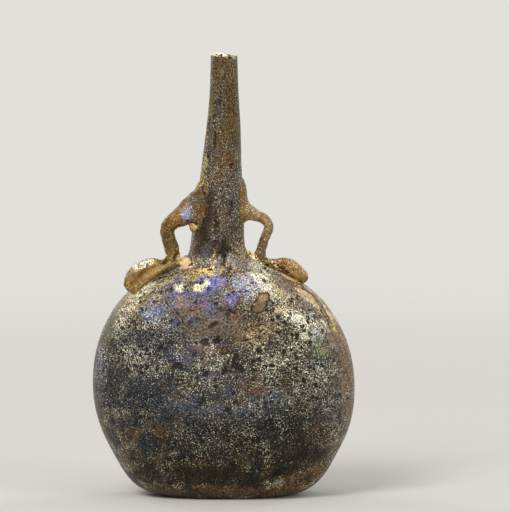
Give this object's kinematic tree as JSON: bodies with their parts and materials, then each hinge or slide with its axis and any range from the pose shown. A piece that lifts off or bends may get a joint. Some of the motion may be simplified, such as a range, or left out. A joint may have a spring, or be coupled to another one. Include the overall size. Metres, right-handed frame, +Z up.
{
  "type": "long-necked glass bottle",
  "caption": "Free-blown glass bottle with a flattened round body, a long tapering neck and applied handles from shoulder to neck, for holding and pouring liquid.",
  "frame": {"origin": "centre of the bounding box's base, under the middle of the body, on the surface that the bottle stands on", "axes": "+Z up along the neck, +X to the viewer's right across the wide body, flat faces look along Y with the pictured one at -Y"},
  "size_m": [0.119, 0.0738, 0.2002],
  "materials": {
    "weathered_vessel_glass": "buried glass with a pitted, speckled and iridescent weathering crust that hides most of its clarity",
    "amber_handle_glass": "honey-brown glass with a thin sandy crust, less weathered than the vessel",
    "scar_glass": "rough snapped glass"
  },
  "bodies": {
    "root": {"vessel": "weathered_vessel_glass", "pontil_wad": "scar_glass", "left_tail_trail": "amber_handle_glass", "left_handle_strap": "amber_handle_glass", "left_neck_pad": "amber_handle_glass", "right_tail_trail": "amber_handle_glass", "right_handle_strap": "amber_handle_glass", "right_neck_pad": "amber_handle_glass"}
  },
  "joints": []
}
